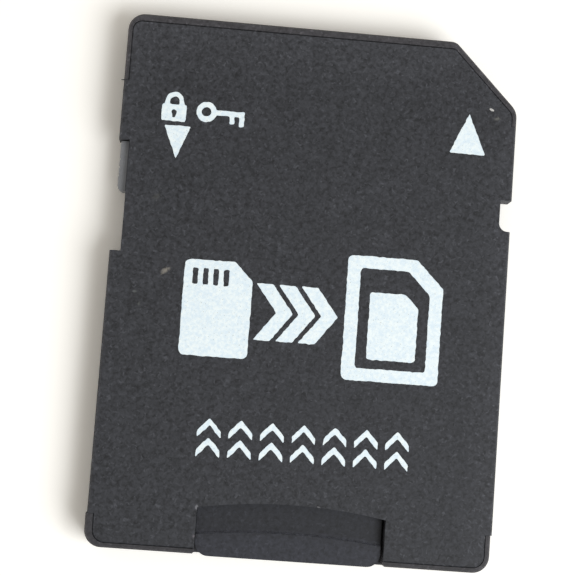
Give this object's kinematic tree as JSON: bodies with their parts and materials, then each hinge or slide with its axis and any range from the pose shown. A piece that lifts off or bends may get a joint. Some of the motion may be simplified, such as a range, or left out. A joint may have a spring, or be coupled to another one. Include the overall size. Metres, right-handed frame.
{
  "type": "memory card adapter",
  "caption": "Flat rectangular card adapter with a cut-off corner, side lock slider, row of recessed contacts and a small memory card that slides out of its rear slot.",
  "frame": {"origin": "middle of the 24 x 32 mm footprint, on the plane that the contact side rests on", "axes": "+X to the latch-notch side as seen from the label side, +Y to the contact end, +Z to the label side"},
  "size_m": [0.0241, 0.0321, 0.0021],
  "materials": {
    "shell_plastic": "moulded charcoal plastic, fine spark-eroded texture",
    "cover_plastic": "moulded charcoal plastic, fine spark-eroded texture",
    "slider_plastic": "moulded grey plastic, satin",
    "carrier_plastic": "moulded black plastic",
    "contact_metal": "stamped copper alloy strip with a thin gold plating",
    "spring_steel": "bright rolled spring steel",
    "card_plastic": "transfer-moulded epoxy, smooth satin",
    "card_board_mask": "black-green solder mask, semi-gloss",
    "chip_silicon": "bare silicon die",
    "card_pad_metal": "gold-plated copper pad"
  },
  "bodies": {
    "adapter": {"bottom_shell": "shell_plastic", "top_cover": "cover_plastic", "contact_carrier": "carrier_plastic", "card_retainer": "spring_steel", "contact_data_2": "contact_metal", "contact_data_3": "contact_metal", "contact_command": "contact_metal", "contact_power": "contact_metal", "contact_clock": "contact_metal", "contact_ground": "contact_metal", "contact_data_0": "contact_metal", "contact_data_1": "contact_metal"},
    "slider": {"lock_slider": "slider_plastic"},
    "small_card": {"card_body": "card_plastic", "card_board": "card_board_mask", "card_memory_chip": "chip_silicon", "card_controller_chip": "chip_silicon", "card_pad_1": "card_pad_metal", "card_pad_2": "card_pad_metal", "card_pad_3": "card_pad_metal", "card_pad_4": "card_pad_metal", "card_pad_5": "card_pad_metal", "card_pad_6": "card_pad_metal", "card_pad_7": "card_pad_metal", "card_pad_8": "card_pad_metal"}
  },
  "joints": [
    {"name": "lock_slide", "type": "slide", "parent": "adapter", "child": "slider", "axis": [0, -1, 0], "range_m": [0, 0.0036]},
    {"name": "card_slide", "type": "slide", "parent": "adapter", "child": "small_card", "axis": [0, -1, 0], "range_m": [0, 0.016], "deforming": ["card_retainer"]}
  ]
}
